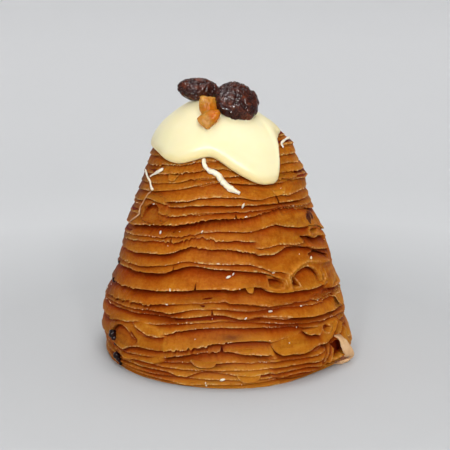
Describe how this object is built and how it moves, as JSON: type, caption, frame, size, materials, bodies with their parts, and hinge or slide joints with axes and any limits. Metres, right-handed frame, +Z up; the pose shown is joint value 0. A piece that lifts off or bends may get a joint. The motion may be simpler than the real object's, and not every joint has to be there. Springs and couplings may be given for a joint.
{
  "type": "sfogliatella pastry",
  "caption": "Tall bell-shaped pastry of thin shingled layers, capped with a lobed coat of pale cream, raisins and candied peel; stands on its flat underside.",
  "frame": {"origin": "on the ground, at the middle of the object's box seen from above", "axes": "+Z up, from the flat underside to the cream; -Y towards the front, where the cream hangs lowest; +X to the right seen from the front"},
  "size_m": [0.0846, 0.0844, 0.0906],
  "materials": {
    "pastry": "baked golden brown, dry, with darker gaps between the layers",
    "cream": "smooth pale yellow cream, satin",
    "raisin": "deeply wrinkled, dark brown, glossy",
    "candied_peel": "translucent amber orange, glazed"
  },
  "bodies": {
    "root": {"pastry_body": "pastry", "cream_cap": "cream", "raisin_left": "raisin", "raisin_right": "raisin", "peel_upper": "candied_peel", "peel_lower": "candied_peel"}
  },
  "joints": []
}
